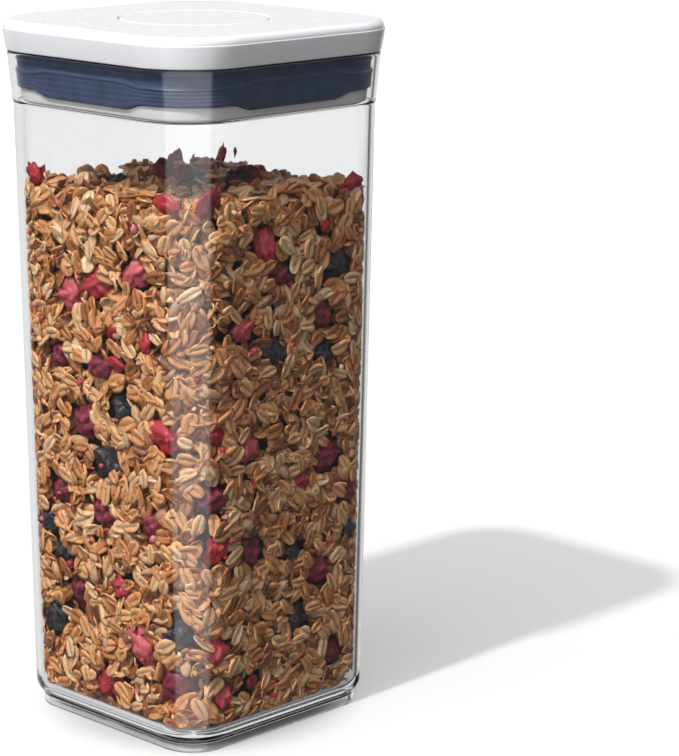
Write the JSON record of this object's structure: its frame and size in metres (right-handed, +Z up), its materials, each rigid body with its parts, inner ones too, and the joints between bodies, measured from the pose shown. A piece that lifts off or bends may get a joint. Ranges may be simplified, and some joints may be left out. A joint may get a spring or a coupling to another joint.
{
  "type": "push-button food canister",
  "caption": "Tall clear rounded-square food canister; its white push-button lid rocks hidden levers that lift a tray and squeeze a blue silicone gasket against the neck.",
  "frame": {"origin": "centre of the jar's foot, on the surface it stands on", "axes": "+Z up through the lid; X and Y square to the jar's flat faces"},
  "size_m": [0.107, 0.107, 0.244],
  "materials": {
    "clear_plastic": "clear polished copolyester",
    "white_plastic": "glossy white moulding",
    "tray_plastic": "satin pale grey moulding",
    "acetal": "matte white acetal",
    "silicone": "dark blue silicone, smooth with fine ribs",
    "steel": "plain drawn wire and pins"
  },
  "bodies": {
    "jar": {"jar_body": "clear_plastic"},
    "lid": {"lid_cover": "white_plastic", "inner_frame": "acetal", "latch_guide": "acetal", "lever_pins": "steel", "frame_screws": "steel", "gasket_seal": "silicone", "button_spring": "steel"},
    "button": {"push_button": "white_plastic", "cam_stem": "acetal"},
    "tray": {"lower_tray": "tray_plastic"},
    "follower": {"latch_follower": "steel"},
    "lever_right": {"rocker_lever_right": "acetal"},
    "lever_rear": {"rocker_lever_rear": "acetal"},
    "lever_left": {"rocker_lever_left": "acetal"},
    "lever_front": {"rocker_lever_front": "acetal"}
  },
  "joints": [
    {"name": "lid_lift", "type": "slide", "parent": "jar", "child": "lid", "axis": [0, 0, 1], "range_m": [0, 0.14]},
    {"name": "button_slide", "type": "slide", "parent": "lid", "child": "button", "axis": [0, 0, 1], "range_m": [0, 0.012], "deforming": ["button_spring"]},
    {"name": "tray_drop", "type": "slide", "parent": "lid", "child": "tray", "axis": [0, 0, -1], "range_m": [0, 0.003], "deforming": ["gasket_seal"]},
    {"name": "lever_right_rock", "type": "hinge", "parent": "lid", "child": "lever_right", "pos_m": [0.033, 0, 0.228], "axis": [0, 1, 0], "range_deg": [0, 35]},
    {"name": "lever_rear_rock", "type": "hinge", "parent": "lid", "child": "lever_rear", "pos_m": [0, 0.033, 0.228], "axis": [-1, 0, 0], "range_deg": [0, 35]},
    {"name": "lever_left_rock", "type": "hinge", "parent": "lid", "child": "lever_left", "pos_m": [-0.033, 0, 0.228], "axis": [0, -1, 0], "range_deg": [0, 35]},
    {"name": "lever_front_rock", "type": "hinge", "parent": "lid", "child": "lever_front", "pos_m": [0, -0.033, 0.228], "axis": [1, 0, 0], "range_deg": [0, 35]},
    {"name": "follower_swing", "type": "hinge", "parent": "lid", "child": "follower", "pos_m": [-0.00636, 0.00636, 0.226], "axis": [-0.7071, 0.7071, 0], "range_deg": [0, 8]}
  ],
  "couplings": [
    {"joint": "tray_drop", "follows": "button_slide", "ratio": 0.25},
    {"joint": "lever_right_rock", "follows": "button_slide", "rad_per_m": 50.905},
    {"joint": "lever_rear_rock", "follows": "button_slide", "rad_per_m": 50.905},
    {"joint": "lever_left_rock", "follows": "button_slide", "rad_per_m": 50.905},
    {"joint": "lever_front_rock", "follows": "button_slide", "rad_per_m": 50.905},
    {"joint": "follower_swing", "follows": "button_slide", "rad_per_m": 11.635}
  ]
}
